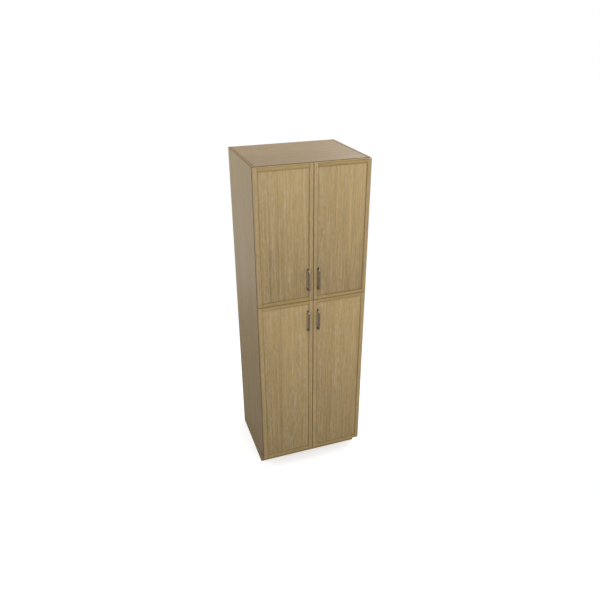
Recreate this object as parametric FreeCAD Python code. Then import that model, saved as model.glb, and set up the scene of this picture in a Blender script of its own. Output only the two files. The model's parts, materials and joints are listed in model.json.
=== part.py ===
"""Tall four-door broom cupboard in pale oak, built up from its separate boards, doors and fittings.

Frame: +X to the right, +Y to the back, +Z up, in millimetres. The origin is on the floor, under the
middle of the cupboard's outline. A depth is measured backwards from the front edges of the carcass,
so the doors and pulls in front of them have negative depths. Pieces of the left half are drawn where
they belong, and the right half is their mirror image in the plane x = 0.
"""
import FreeCAD
import Part
import math
import os

# ---- Carcass ----
WIDTH = 762.0
HEIGHT = 2286.0
DEPTH = 609.6
BOARD = 19.0
TOE_HEIGHT = 114.3
TOE_DEPTH = 76.2
SEAM_HEIGHT = 1371.6
EASE = 0.8

BACK_THICK = 6.0
BACK_SET_IN = 19.0
GROOVE = 9.0
GROOVE_PLAY = 0.5
BACK_RAIL_HEIGHT = 100.0
WALL_SCREW_SPACING = 406.4
WALL_SCREW_RADIUS = 3.0

SHELF_COUNT = 2
SHELF_PLAY = 1.0
SHELF_FRONT = 12.0
SHELF_BACK_GAP = 4.6
PIN_RADIUS = 2.45
PIN_HOLE_RADIUS = 2.5
PIN_HOLE_DEPTH = 10.0
PIN_HEAD_RADIUS = 3.5
PIN_HEAD_REACH = 8.0
PIN_PITCH = 32.0
PIN_COLUMNS = (37.0, 547.0)

DOWEL_RADIUS = 3.95
DOWEL_HOLE_RADIUS = 4.0
DOWEL_IN_SIDE = 11.0
DOWEL_IN_BOARD = 24.0
DOWEL_END_PLAY = 1.0
PANEL_DOWEL_DEPTHS = (60.0, 220.0, 390.0, 550.0)
TOE_DOWEL_HEIGHTS = (30.0, 85.0)
RAIL_DOWEL_OFFSETS = (-30.0, 30.0)

BACK_SCREW_COLUMNS = (-270.0, -90.0, 90.0, 270.0)
BACK_SCREW_RADIUS = 1.75
BACK_SCREW_HEAD_RADIUS = 3.5
BACK_SCREW_HEAD = 2.0
BACK_SCREW_LENGTH = 18.0

BUMPER_RADIUS = 3.0
BUMPER_THICK = 2.3
BUMPER_FROM_CENTRE = 15.0

# ---- Doors ----
DOOR_THICK = 19.0
DOOR_GAP = 2.5
SIDE_REVEAL = 1.5
DOOR_SPACE = 3.0
TOP_REVEAL = 3.0
DOOR_BOTTOM = 105.0
STILE_WIDTH = 27.0
RAIL_WIDTH = 24.0
PANEL_RECESS = 4.0
PANEL_PLAY = 0.5
TONGUE_THICK = 6.0
TONGUE_LENGTH = 8.0
TONGUE_FROM_BACK = 4.5

# ---- Pulls ----
PULL_CENTRES = 140.0
PULL_FROM_EDGE = 34.0
PULL_UPPER_FROM_SEAM = 84.0
PULL_LOWER_FROM_SEAM = 81.0
PULL_PROJECTION = 30.0
PULL_BAR_RADIUS = 6.0
PULL_BEND = 10.0
PULL_FOOT_HALF_WIDTH = 6.5
PULL_FOOT_HALF_HEIGHT = 8.0
PULL_FOOT_FLARE = 9.0
PULL_FOOT_CORE = (4.4, 4.6)
PULL_SCREW_RADIUS = 1.95
PULL_SCREW_HOLE = 2.0
PULL_SCREW_CLEARANCE = 2.25
PULL_SCREW_BITE = 9.0
PULL_SCREW_HEAD_RADIUS = 3.8
PULL_SCREW_HEAD = 2.0

# ---- Concealed hinges: plan places are (in from the outer face of the side, depth) ----
CUP_RADIUS = 17.4
CUP_BORE_RADIUS = 17.5
CUP_INNER_RADIUS = 16.6
CUP_DEPTH = 12.0
CUP_FLOOR = 0.8
CUP_FLANGE_RADIUS = 18.5
CUP_FLANGE = 0.7
CUP_FROM_EDGE = 22.5
ARM_PIVOT_OUTER = (30.5, -10.65)
CUP_PIVOT_OUTER = (12.35, -8.5)
ARM_PIVOT_INNER = (35.6, -8.65)
CUP_PIVOT_INNER = (15.95, -4.5)
INNER_SLOT = ((14.25, -4.15), (17.55, -5.25))
INNER_SLOT_RADIUS = 2.0
HINGE_PIN_RADIUS = 1.25
HINGE_HOLE_RADIUS = 1.3
STUB_END = 0.3
LINK_END_RADIUS = 1.9
SLOT_END_RADIUS = 2.9
INNER_LINK_HALF = 3.2
CUP_EAR = (3.5, 4.5)
CUP_WINDOW = (4.5, 6.7)
CUP_WINDOW_FOOT = -9.5
OUTER_LINK = (4.8, 6.3)
ARM_CHEEK = (6.6, 8.1)
ARM_TIP_RADIUS = 2.4
ARM_FOOT = 22.0
ARM_BACK = 62.0
ARM_WEB = 1.4
PLATE_THICK = 2.0
PLATE_WING_HALF_HEIGHT = 26.0
PLATE_WING_HALF_DEPTH = 9.0
PLATE_RIB = (12.0, 66.0)
PLATE_RIB_TOP = 28.0
PLATE_RIB_HALF_HEIGHT = 6.2
PLATE_SCREW_DEPTH = 37.0
PLATE_SCREW_OFFSET = 16.0
PLATE_SCREW_RADIUS = 2.4
PLATE_SCREW_HOLE = 2.5
PLATE_SCREW_BITE = 10.0
PLATE_SCREW_HEAD_RADIUS = 4.0
PLATE_SCREW_HEAD = 1.6
ARM_SCREW_DEPTH = 52.0
ARM_SCREW_RADIUS = 2.0
ARM_SCREW_HOLE = 2.1
ARM_SCREW_HEAD_RADIUS = 3.5
ARM_SCREW_BITE = 6.0
HINGE_FROM_END = 100.0

# ---- Worked out from the driving dimensions ----
INSIDE = WIDTH / 2 - BOARD
PANEL_THICK = DOOR_THICK - PANEL_RECESS
PULL_REACH = DOOR_GAP + PANEL_THICK + PULL_PROJECTION
FRONT_Y = (PULL_REACH - DEPTH) / 2
BACK_REAR = DEPTH - BACK_SET_IN
BACK_FRONT = BACK_REAR - BACK_THICK
BOTTOM_TOP = TOE_HEIGHT + BOARD
TOP_UNDER = HEIGHT - BOARD
FIXED_SHELF = (SEAM_HEIGHT - BOARD / 2, SEAM_HEIGHT + BOARD / 2)
CUP_CENTRE = SIDE_REVEAL + CUP_FROM_EDGE
ARM_TOP = ARM_PIVOT_INNER[0] + ARM_TIP_RADIUS
DOORS = {
    "upper": (SEAM_HEIGHT + DOOR_SPACE / 2, HEIGHT - TOP_REVEAL),
    "lower": (DOOR_BOTTOM, SEAM_HEIGHT - DOOR_SPACE / 2),
}
HINGE_COUNTS = {"upper": 2, "lower": 3}
BACK_RAILS = {
    "upper_back_rail": TOP_UNDER - BACK_RAIL_HEIGHT,
    "middle_back_rail": FIXED_SHELF[0] - BACK_RAIL_HEIGHT,
    "lower_back_rail": BOTTOM_TOP,
}


# ---- Shapes ----
def place(x, depth, z):
    """The point at x, at a depth behind the carcass front, at height z."""
    return FreeCAD.Vector(x, FRONT_Y + depth, z)


def box(x, depth, z):
    """A block between the two values of x, of depth and of height."""
    return Part.makeBox(x[1] - x[0], depth[1] - depth[0], z[1] - z[0], place(x[0], depth[0], z[0]))


def eased_box(x, depth, z, shown, ease=EASE):
    """A block whose edges between two shown faces, such as "-x" or "+z", are taken off."""
    solid = box(x, depth, z)
    bounds = solid.BoundBox
    faces = {
        "-x": ("x", bounds.XMin), "+x": ("x", bounds.XMax),
        "-d": ("y", bounds.YMin), "+d": ("y", bounds.YMax),
        "-z": ("z", bounds.ZMin), "+z": ("z", bounds.ZMax),
    }
    picked = []
    for edge in solid.Edges:
        middle = edge.CenterOfMass
        beside = [name for name, (axis, value) in faces.items() if abs(getattr(middle, axis) - value) < 1e-6]
        if all(name in shown for name in beside):
            picked.append(edge)
    return solid.makeChamfer(ease, picked)


def rod(radius, start, end):
    """A round rod between two points, each given as x, depth and height."""
    foot = place(*start)
    run = place(*end) - foot
    return Part.makeCylinder(radius, run.Length, foot, run)


def cut(solid, tools):
    """The solid with every tool taken out of it."""
    return solid.cut(Part.makeCompound(tools)) if tools else solid


def mirrored(shape):
    """The same piece on the other side of the plane x = 0."""
    return shape.mirror(FreeCAD.Vector(0, 0, 0), FreeCAD.Vector(1, 0, 0))


def save(name, pieces):
    """Write one piece, or a group of separate pieces, as a node."""
    solids = [solid for piece in pieces for solid in piece.Solids]
    shape = solids[0] if len(solids) == 1 else Part.makeCompound(solids)
    shape.exportStep(os.path.join("parts", name + ".step"))
    print(name, len(solids), round(shape.Volume))


# ---- Where small things go ----
def shelf_heights():
    """The undersides of the adjustable shelves, which share the upper space equally."""
    clear = (TOP_UNDER - FIXED_SHELF[1] - SHELF_COUNT * BOARD) / (SHELF_COUNT + 1)
    return [FIXED_SHELF[1] + clear + k * (clear + BOARD) for k in range(SHELF_COUNT)]


def hinge_heights(level):
    """The heights of the hinges on one door, evenly spaced between its two end hinges."""
    low, high = DOORS[level]
    first = low + HINGE_FROM_END
    step = (high - low - 2 * HINGE_FROM_END) / (HINGE_COUNTS[level] - 1)
    return [first + k * step for k in range(HINGE_COUNTS[level])]


def dowel_places():
    """Each board's dowels in one side, as depth and height."""
    rail_depth = (BACK_REAR + DEPTH) / 2
    places = {
        "top_panel": [(depth, HEIGHT - BOARD / 2) for depth in PANEL_DOWEL_DEPTHS],
        "fixed_shelf": [(depth, SEAM_HEIGHT) for depth in PANEL_DOWEL_DEPTHS],
        "bottom_panel": [(depth, TOE_HEIGHT + BOARD / 2) for depth in PANEL_DOWEL_DEPTHS],
        "toe_board": [(TOE_DEPTH + BOARD / 2, z) for z in TOE_DOWEL_HEIGHTS],
        "rear_toe_rail": [(BACK_FRONT - BOARD / 2, z) for z in TOE_DOWEL_HEIGHTS],
    }
    for name, low in BACK_RAILS.items():
        middle = low + BACK_RAIL_HEIGHT / 2
        places[name] = [(rail_depth, middle + offset) for offset in RAIL_DOWEL_OFFSETS]
    return places


def dowel(depth, z, radius, end_play):
    """A dowel, or the hole for one, across the left joint between a side and a board."""
    left = -INSIDE - DOWEL_IN_SIDE - end_play
    right = -INSIDE + DOWEL_IN_BOARD + end_play
    return rod(radius, (left, depth, z), (right, depth, z))


def dowel_holes(name):
    """The holes at both ends of one board."""
    holes = [dowel(depth, z, DOWEL_HOLE_RADIUS, DOWEL_END_PLAY) for depth, z in dowel_places()[name]]
    return holes + [mirrored(hole) for hole in holes]


# ---- Carcass pieces ----
def side_panel():
    """The left side: toe notch, groove for the back, dowel, shelf pin and hinge plate holes."""
    outer = -WIDTH / 2
    across = (outer, -INSIDE)
    panel = eased_box(across, (0, DEPTH), (0, HEIGHT), ("-x", "+x", "-d", "+d", "+z"))
    tools = [
        box((outer - 1, -INSIDE + 1), (-1, TOE_DEPTH), (-1, TOE_HEIGHT)),
        box((-INSIDE - GROOVE, -INSIDE + 1), (BACK_FRONT, BACK_REAR),
            (BOTTOM_TOP - GROOVE, TOP_UNDER + GROOVE)),
    ]
    for places in dowel_places().values():
        tools += [dowel(depth, z, DOWEL_HOLE_RADIUS, DOWEL_END_PLAY) for depth, z in places]
    for height in shelf_heights():
        for step in range(-2, 3):
            z = height - PIN_HEAD_RADIUS + step * PIN_PITCH
            for depth in PIN_COLUMNS:
                tools.append(rod(PIN_HOLE_RADIUS, (-INSIDE - PIN_HOLE_DEPTH, depth, z), (-INSIDE + 1, depth, z)))
    for level in DOORS:
        for height in hinge_heights(level):
            for z in (height - PLATE_SCREW_OFFSET, height + PLATE_SCREW_OFFSET):
                tools.append(rod(PLATE_SCREW_HOLE, (-INSIDE - PLATE_SCREW_BITE - 1, PLATE_SCREW_DEPTH, z),
                                 (-INSIDE + 1, PLATE_SCREW_DEPTH, z)))
    return cut(panel, tools)


def level_panel(name, z, groove_z):
    """The top or the bottom, full depth, with a groove for the back at the heights groove_z."""
    panel = eased_box((-INSIDE, INSIDE), (0, DEPTH), z, ("-d", "+d", "-z", "+z"))
    groove = box((-INSIDE - 1, INSIDE + 1), (BACK_FRONT, BACK_REAR), groove_z)
    return cut(panel, [groove] + dowel_holes(name))


def back_screw_rows():
    """Rows of screws through the back panel: height, depth of the head's seat, and which way they go."""
    rows = [(low + BACK_RAIL_HEIGHT / 2, BACK_FRONT, 1) for low in BACK_RAILS.values()]
    return rows + [(SEAM_HEIGHT, BACK_REAR, -1)]


def back_screw_rods(radius, length):
    """A rod of this radius at every back panel screw, from its seat along its length."""
    rods = []
    for z, seat, way in back_screw_rows():
        for x in BACK_SCREW_COLUMNS:
            rods.append(rod(radius, (x, seat, z), (x, seat + way * length, z)))
    return rods


def wall_screw_holes():
    """The two holes through the upper back rail and the back panel, for screws into wall studs."""
    z = BACK_RAILS["upper_back_rail"] + BACK_RAIL_HEIGHT / 2
    half = WALL_SCREW_SPACING / 2
    return [rod(WALL_SCREW_RADIUS, (x, BACK_FRONT - 1, z), (x, DEPTH + 1, z)) for x in (-half, half)]


def fixed_shelf():
    """The shelf behind the seam between the upper and lower doors."""
    shelf = eased_box((-INSIDE, INSIDE), (0, BACK_FRONT), FIXED_SHELF, ("-d", "-z", "+z"))
    return cut(shelf, dowel_holes("fixed_shelf") + back_screw_rods(BACK_SCREW_RADIUS, BACK_SCREW_LENGTH))


def back_panel():
    """The thin back, held in grooves all round."""
    reach = INSIDE + GROOVE - GROOVE_PLAY
    z = (BOTTOM_TOP - GROOVE + GROOVE_PLAY, TOP_UNDER + GROOVE - GROOVE_PLAY)
    panel = box((-reach, reach), (BACK_FRONT, BACK_REAR), z)
    return cut(panel, wall_screw_holes() + back_screw_rods(BACK_SCREW_RADIUS, BACK_SCREW_LENGTH))


def back_rail(name):
    """A rail behind the back panel, which stiffens the carcass and takes the wall screws."""
    low = BACK_RAILS[name]
    rail = eased_box((-INSIDE, INSIDE), (BACK_REAR, DEPTH), (low, low + BACK_RAIL_HEIGHT), ("+d", "-z", "+z"))
    holes = dowel_holes(name) + back_screw_rods(BACK_SCREW_RADIUS, BACK_SCREW_LENGTH)
    return cut(rail, holes + wall_screw_holes())


def toe_board(name, front):
    """A board on edge under the bottom panel."""
    board = box((-INSIDE, INSIDE), (front, front + BOARD), (0, TOE_HEIGHT))
    return cut(board, dowel_holes(name))


def adjustable_shelf(height):
    """A loose shelf with its underside at this height."""
    half = INSIDE - SHELF_PLAY
    depth = (SHELF_FRONT, BACK_FRONT - SHELF_BACK_GAP)
    return eased_box((-half, half), depth, (height, height + BOARD), ("-x", "+x", "-d", "+d", "-z", "+z"))


def shelf_pins():
    """Four stepped pins under each adjustable shelf."""
    pins = []
    for height in shelf_heights():
        z = height - PIN_HEAD_RADIUS
        for depth in PIN_COLUMNS:
            shank = rod(PIN_RADIUS, (-INSIDE - PIN_HOLE_DEPTH + 0.5, depth, z), (-INSIDE, depth, z))
            head = rod(PIN_HEAD_RADIUS, (-INSIDE, depth, z), (-INSIDE + PIN_HEAD_REACH, depth, z))
            pins.append(shank.fuse(head))
    return pins + [mirrored(pin) for pin in pins]


def carcass_dowels():
    """Every dowel between the sides and the boards."""
    pegs = [dowel(depth, z, DOWEL_RADIUS, 0) for places in dowel_places().values() for depth, z in places]
    return pegs + [mirrored(peg) for peg in pegs]


def back_panel_screws():
    """Pan-head screws that hold the back panel to the rails and to the fixed shelf."""
    shanks = back_screw_rods(BACK_SCREW_RADIUS, BACK_SCREW_LENGTH)
    heads = back_screw_rods(BACK_SCREW_HEAD_RADIUS, -BACK_SCREW_HEAD)
    return [shank.fuse(head) for shank, head in zip(shanks, heads)]


def door_bumpers():
    """Soft buttons on the carcass front, behind the free corners of the doors."""
    seam_cover = (FIXED_SHELF[1] - DOORS["upper"][0]) / 2
    heights = (
        HEIGHT - BOARD / 2,
        FIXED_SHELF[1] - seam_cover,
        FIXED_SHELF[0] + seam_cover,
        TOE_HEIGHT + BOARD / 2,
    )
    buttons = [rod(BUMPER_RADIUS, (-BUMPER_FROM_CENTRE, -BUMPER_THICK, z), (-BUMPER_FROM_CENTRE, 0, z))
               for z in heights]
    return buttons + [mirrored(button) for button in buttons]


# ---- Concealed hinges, left side ----
def plan(point, z):
    """The point at a hinge plan place and height z."""
    return (-WIDTH / 2 + point[0], point[1], z)


def hinge_pin(point, z, radius):
    """An upright rod at a hinge plan place, between two heights."""
    return rod(radius, plan(point, z[0]), plan(point, z[1]))


def hinge_plate(points, z):
    """A flat plate of this outline in plan, between two heights."""
    corners = [place(*plan(point, z[0])) for point in points]
    outline = Part.makePolygon(corners + corners[:1])
    return Part.Face(outline).extrude(FreeCAD.Vector(0, 0, z[1] - z[0]))


def capsule(first, last, radius, z):
    """A plate with round ends about two plan places."""
    run = (last[0] - first[0], last[1] - first[1])
    length = math.hypot(*run)
    side = (-run[1] / length * radius, run[0] / length * radius)
    points = [
        (first[0] + side[0], first[1] + side[1]), (first[0] - side[0], first[1] - side[1]),
        (last[0] - side[0], last[1] - side[1]), (last[0] + side[0], last[1] + side[1]),
    ]
    ends = [hinge_pin(first, z, radius), hinge_pin(last, z, radius)]
    return hinge_plate(points, z).multiFuse(ends)


def both_sides(layer, height):
    """The two mirrored height ranges of a layer, above and below a hinge's middle."""
    return [(height + layer[0], height + layer[1]), (height - layer[1], height - layer[0])]


def mounting_plate(height):
    """The cross-shaped plate on the side, with a raised rib along it."""
    face = BOARD
    near = PLATE_SCREW_DEPTH - PLATE_WING_HALF_DEPTH
    far = PLATE_SCREW_DEPTH + PLATE_WING_HALF_DEPTH
    wing_z = (height - PLATE_WING_HALF_HEIGHT, height + PLATE_WING_HALF_HEIGHT)
    rib_z = (height - PLATE_RIB_HALF_HEIGHT, height + PLATE_RIB_HALF_HEIGHT)
    wing = hinge_plate([(face, near), (face + PLATE_THICK, near), (face + PLATE_THICK, far), (face, far)], wing_z)
    rib = hinge_plate([(face, PLATE_RIB[0]), (PLATE_RIB_TOP, PLATE_RIB[0] + 3), (PLATE_RIB_TOP, PLATE_RIB[1]),
                       (face, PLATE_RIB[1])], rib_z)
    holes = [rod(ARM_SCREW_HOLE, plan((PLATE_RIB_TOP - ARM_SCREW_BITE - 1, ARM_SCREW_DEPTH), height),
                 plan((PLATE_RIB_TOP + 1, ARM_SCREW_DEPTH), height))]
    for z in (height - PLATE_SCREW_OFFSET, height + PLATE_SCREW_OFFSET):
        holes.append(rod(PLATE_SCREW_HOLE, plan((face - 1, PLATE_SCREW_DEPTH), z),
                         plan((face + PLATE_THICK + 1, PLATE_SCREW_DEPTH), z)))
    return cut(wing.fuse(rib), holes)


def hinge_arm(height):
    """The channel over the plate's rib, with its two pivot pins at the front."""
    outer, inner = ARM_PIVOT_OUTER, ARM_PIVOT_INNER
    profile = [
        (ARM_FOOT, ARM_BACK), (ARM_FOOT, 4.0), (outer[0] - ARM_TIP_RADIUS, outer[1]),
        (outer[0] + ARM_TIP_RADIUS, outer[1]), (ARM_TOP, inner[1]), (ARM_TOP, ARM_BACK),
    ]
    pieces = []
    for z in both_sides(ARM_CHEEK, height):
        pieces.append(hinge_plate(profile, z))
        pieces.append(hinge_pin(outer, z, ARM_TIP_RADIUS))
        pieces.append(hinge_pin(inner, z, ARM_TIP_RADIUS))
    for z in both_sides((OUTER_LINK[0] - STUB_END, ARM_CHEEK[1]), height):
        pieces.append(hinge_pin(outer, z, HINGE_PIN_RADIUS))
    through = (height - ARM_CHEEK[1], height + ARM_CHEEK[1])
    web = [(ARM_TOP - ARM_WEB, 2.0), (ARM_TOP, 2.0), (ARM_TOP, ARM_BACK), (ARM_TOP - ARM_WEB, ARM_BACK)]
    pieces.append(hinge_plate(web, through))
    pieces.append(hinge_pin(inner, through, HINGE_PIN_RADIUS))
    hole = rod(ARM_SCREW_HOLE, plan((ARM_TOP - ARM_WEB - 1, ARM_SCREW_DEPTH), height),
               plan((ARM_TOP + 1, ARM_SCREW_DEPTH), height))
    return cut(pieces[0].multiFuse(pieces[1:]), [hole])


def hinge_screws(height):
    """Two screws through the plate into the side, and one through the arm into the plate."""
    screws = []
    seat = BOARD + PLATE_THICK
    for z in (height - PLATE_SCREW_OFFSET, height + PLATE_SCREW_OFFSET):
        shank = rod(PLATE_SCREW_RADIUS, plan((BOARD - PLATE_SCREW_BITE, PLATE_SCREW_DEPTH), z),
                    plan((seat, PLATE_SCREW_DEPTH), z))
        head = rod(PLATE_SCREW_HEAD_RADIUS, plan((seat, PLATE_SCREW_DEPTH), z),
                   plan((seat + PLATE_SCREW_HEAD, PLATE_SCREW_DEPTH), z))
        screws.append(shank.fuse(head))
    shank = rod(ARM_SCREW_RADIUS, plan((PLATE_RIB_TOP - ARM_SCREW_BITE, ARM_SCREW_DEPTH), height),
                plan((ARM_TOP, ARM_SCREW_DEPTH), height))
    head = rod(ARM_SCREW_HEAD_RADIUS, plan((ARM_TOP, ARM_SCREW_DEPTH), height),
               plan((ARM_TOP + PLATE_SCREW_HEAD, ARM_SCREW_DEPTH), height))
    return screws + [shank.fuse(head)]


def outer_links(height):
    """The pair of plain links, which turn on the arm's front pin and carry the cup."""
    links = []
    for z in both_sides(OUTER_LINK, height):
        link = capsule(ARM_PIVOT_OUTER, CUP_PIVOT_OUTER, LINK_END_RADIUS, z)
        links.append(cut(link, [hinge_pin(pivot, z, HINGE_HOLE_RADIUS)
                                for pivot in (ARM_PIVOT_OUTER, CUP_PIVOT_OUTER)]))
    return links


def inner_link(height):
    """The middle link, which turns on the arm's second pin and guides the cup by a slot."""
    z = (height - INNER_LINK_HALF, height + INNER_LINK_HALF)
    bar = capsule(ARM_PIVOT_INNER, INNER_SLOT[0], LINK_END_RADIUS, z)
    end = capsule(INNER_SLOT[0], INNER_SLOT[1], SLOT_END_RADIUS, z)
    slot = capsule(INNER_SLOT[0], INNER_SLOT[1], INNER_SLOT_RADIUS, z)
    return cut(bar.fuse(end), [slot, hinge_pin(ARM_PIVOT_INNER, z, HINGE_HOLE_RADIUS)])


def hinge_cup(height):
    """The cup pressed into the door's back, with ears and pins for the links."""
    centre = -WIDTH / 2 + CUP_CENTRE
    bottom = -DOOR_GAP - CUP_DEPTH
    shell = rod(CUP_RADIUS, (centre, bottom, height), (centre, -DOOR_GAP, height))
    flange = rod(CUP_FLANGE_RADIUS, (centre, -DOOR_GAP, height), (centre, CUP_FLANGE - DOOR_GAP, height))
    hollow = rod(CUP_INNER_RADIUS, (centre, bottom + CUP_FLOOR, height), (centre, 0, height))
    edge = -WIDTH / 2 + SIDE_REVEAL
    windows = [box((edge, centre - CUP_INNER_RADIUS / 2), (CUP_WINDOW_FOOT, 0), z)
               for z in both_sides(CUP_WINDOW, height)]
    cup = cut(shell.fuse(flange), [hollow] + windows)
    outer, inner = CUP_PIVOT_OUTER, CUP_PIVOT_INNER
    ear = 2.0
    floor = bottom + CUP_FLOOR / 2
    profile = [
        (outer[0] - ear, floor), (outer[0] + 3 * ear, floor), (inner[0] + ear, inner[1]),
        (inner[0] - ear, inner[1]), (outer[0] - ear, outer[1]),
    ]
    pieces = []
    for z in both_sides(CUP_EAR, height):
        pieces.append(hinge_plate(profile, z))
        pieces.append(hinge_pin(inner, z, ear))
    wall = math.sqrt(CUP_RADIUS ** 2 - (CUP_CENTRE - outer[0] + HINGE_PIN_RADIUS) ** 2)
    for z in both_sides((CUP_EAR[0], wall - STUB_END), height):
        pieces.append(hinge_pin(outer, z, HINGE_PIN_RADIUS))
    pieces.append(hinge_pin(inner, (height - CUP_EAR[1], height + CUP_EAR[1]), HINGE_PIN_RADIUS))
    return cup.multiFuse(pieces)


# ---- Doors, left side ----
def door_spans(level):
    """The left door's hinge edge and free edge in x, its two heights, and its depths back to front."""
    low, high = DOORS[level]
    return (-WIDTH / 2 + SIDE_REVEAL, -DOOR_SPACE / 2), (low, high), (-DOOR_GAP - DOOR_THICK, -DOOR_GAP)


def tongue_depths(play=0.0):
    """The depths of the tongues, or of their grooves, in the thickness of a door."""
    back = -DOOR_GAP - TONGUE_FROM_BACK
    return (back - TONGUE_THICK + play, back - play)


def cup_bores(level):
    """The round holes for the hinge cups of one door."""
    centre = -WIDTH / 2 + CUP_CENTRE
    bottom = -DOOR_GAP - CUP_DEPTH
    return [rod(CUP_BORE_RADIUS, (centre, bottom, z), (centre, 1, z)) for z in hinge_heights(level)]


def stile(level, at_hinge):
    """A full-height side member of the door frame, grooved on its inner edge."""
    (hinge_edge, free_edge), z, depth = door_spans(level)
    x = (hinge_edge, hinge_edge + STILE_WIDTH) if at_hinge else (free_edge - STILE_WIDTH, free_edge)
    inner = x[1] if at_hinge else x[0]
    groove = (inner - TONGUE_LENGTH, inner + 1) if at_hinge else (inner - 1, inner + TONGUE_LENGTH)
    member = eased_box(x, depth, z, ("-x", "+x", "-d", "+d", "-z", "+z"))
    tools = [box(groove, tongue_depths(), (z[0] - 1, z[1] + 1))]
    return cut(member, tools + cup_bores(level) if at_hinge else tools)


def rail(level, at_top):
    """A cross member of the door frame, grooved on its inner edge, with a tongue at each end."""
    (hinge_edge, free_edge), (low, high), depth = door_spans(level)
    x = (hinge_edge + STILE_WIDTH, free_edge - STILE_WIDTH)
    z = (high - RAIL_WIDTH, high) if at_top else (low, low + RAIL_WIDTH)
    inner = z[0] if at_top else z[1]
    groove = (inner - 1, inner + TONGUE_LENGTH) if at_top else (inner - TONGUE_LENGTH, inner + 1)
    member = eased_box(x, depth, z, ("-d", "+d", "-z", "+z"))
    tongues = box((x[0] - TONGUE_LENGTH, x[1] + TONGUE_LENGTH), tongue_depths(), z)
    tool = box((x[0] - TONGUE_LENGTH - 1, x[1] + TONGUE_LENGTH + 1), tongue_depths(), groove)
    return cut(member.fuse(tongues), [tool])


def pull_heights(level):
    """The heights of the two feet of one pull."""
    if level == "upper":
        low = SEAM_HEIGHT + PULL_UPPER_FROM_SEAM
        return (low, low + PULL_CENTRES)
    high = SEAM_HEIGHT - PULL_LOWER_FROM_SEAM
    return (high - PULL_CENTRES, high)


def pull_x():
    """The pull's middle line across the left door."""
    return -DOOR_SPACE / 2 - PULL_FROM_EDGE


def pull_screw_rods(level, radius, depth):
    """A rod at each pull screw, between two depths."""
    return [rod(radius, (pull_x(), depth[0], z), (pull_x(), depth[1], z)) for z in pull_heights(level)]


def door_panel(level):
    """The flat panel, level with the back of the frame and set back from its front."""
    (hinge_edge, free_edge), (low, high), depth = door_spans(level)
    x = (hinge_edge + STILE_WIDTH + PANEL_PLAY, free_edge - STILE_WIDTH - PANEL_PLAY)
    z = (low + RAIL_WIDTH + PANEL_PLAY, high - RAIL_WIDTH - PANEL_PLAY)
    field = box(x, (depth[0] + PANEL_RECESS, depth[1]), z)
    reach = TONGUE_LENGTH
    tongue = box((x[0] - reach, x[1] + reach), tongue_depths(), (z[0] - reach, z[1] + reach))
    tools = cup_bores(level) + pull_screw_rods(level, PULL_SCREW_CLEARANCE, (depth[0], depth[1] + 1))
    return cut(field.fuse(tongue), tools)


def pull(level):
    """A bow pull: a round bar on two bends, with flared oval feet."""
    face = -DOOR_GAP - PANEL_THICK
    bar = face - PULL_PROJECTION + PULL_BAR_RADIUS
    low, high = pull_heights(level)
    x = pull_x()
    turn = PULL_BEND * (1 - math.sqrt(0.5))
    low_bend = Part.Arc(place(x, bar + PULL_BEND, low), place(x, bar + turn, low + turn),
                        place(x, bar, low + PULL_BEND)).toShape()
    high_bend = Part.Arc(place(x, bar, high - PULL_BEND), place(x, bar + turn, high - turn),
                         place(x, bar + PULL_BEND, high)).toShape()
    path = Part.Wire([
        Part.makeLine(place(x, face, low), place(x, bar + PULL_BEND, low)),
        low_bend,
        Part.makeLine(place(x, bar, low + PULL_BEND), place(x, bar, high - PULL_BEND)),
        high_bend,
        Part.makeLine(place(x, bar + PULL_BEND, high), place(x, face, high)),
    ])
    section = Part.Wire(Part.makeCircle(PULL_BAR_RADIUS, place(x, face, low), FreeCAD.Vector(0, 1, 0)))
    solid = path.makePipeShell([section], True, False)
    feet = [pull_foot(x, face, z) for z in (low, high)]
    holes = pull_screw_rods(level, PULL_SCREW_HOLE, (face - PULL_SCREW_BITE, face + 1))
    return cut(solid.multiFuse(feet), holes)


def pull_foot(x, face, z):
    """An oval foot on the panel that narrows until it is lost inside the bar."""
    sections = []
    for share in (0.0, 0.35, 0.7, 1.0):
        narrow = (1 - share) ** 2
        half_height = PULL_FOOT_CORE[1] + (PULL_FOOT_HALF_HEIGHT - PULL_FOOT_CORE[1]) * narrow
        half_width = PULL_FOOT_CORE[0] + (PULL_FOOT_HALF_WIDTH - PULL_FOOT_CORE[0]) * narrow
        centre = place(x, face - share * PULL_FOOT_FLARE, z)
        oval = Part.Ellipse(centre + FreeCAD.Vector(0, 0, half_height),
                            centre + FreeCAD.Vector(half_width, 0, 0), centre)
        sections.append(Part.Wire(oval.toShape()))
    return Part.makeLoft(sections, True)


def pull_screws(level):
    """Two machine screws from inside the door into the pull's feet."""
    face = -DOOR_GAP - PANEL_THICK
    shanks = pull_screw_rods(level, PULL_SCREW_RADIUS, (face - PULL_SCREW_BITE + 1, -DOOR_GAP))
    heads = pull_screw_rods(level, PULL_SCREW_HEAD_RADIUS, (-DOOR_GAP, -DOOR_GAP + PULL_SCREW_HEAD))
    return [shank.fuse(head) for shank, head in zip(shanks, heads)]


# ---- The whole cupboard ----
def left_pieces():
    """Every piece of the left half that has a twin in the right half."""
    pieces = {"side_panel": [side_panel()]}
    for level in DOORS:
        heights = hinge_heights(level)
        pieces[level + "_hinge_stile"] = [stile(level, True)]
        pieces[level + "_meeting_stile"] = [stile(level, False)]
        pieces[level + "_top_rail"] = [rail(level, True)]
        pieces[level + "_bottom_rail"] = [rail(level, False)]
        pieces[level + "_door_panel"] = [door_panel(level)]
        pieces[level + "_pull"] = [pull(level)]
        pieces[level + "_pull_screws"] = pull_screws(level)
        pieces[level + "_hinge_cups"] = [hinge_cup(z) for z in heights]
        pieces[level + "_outer_links"] = [link for z in heights for link in outer_links(z)]
        pieces[level + "_inner_links"] = [inner_link(z) for z in heights]
    return pieces


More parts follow.
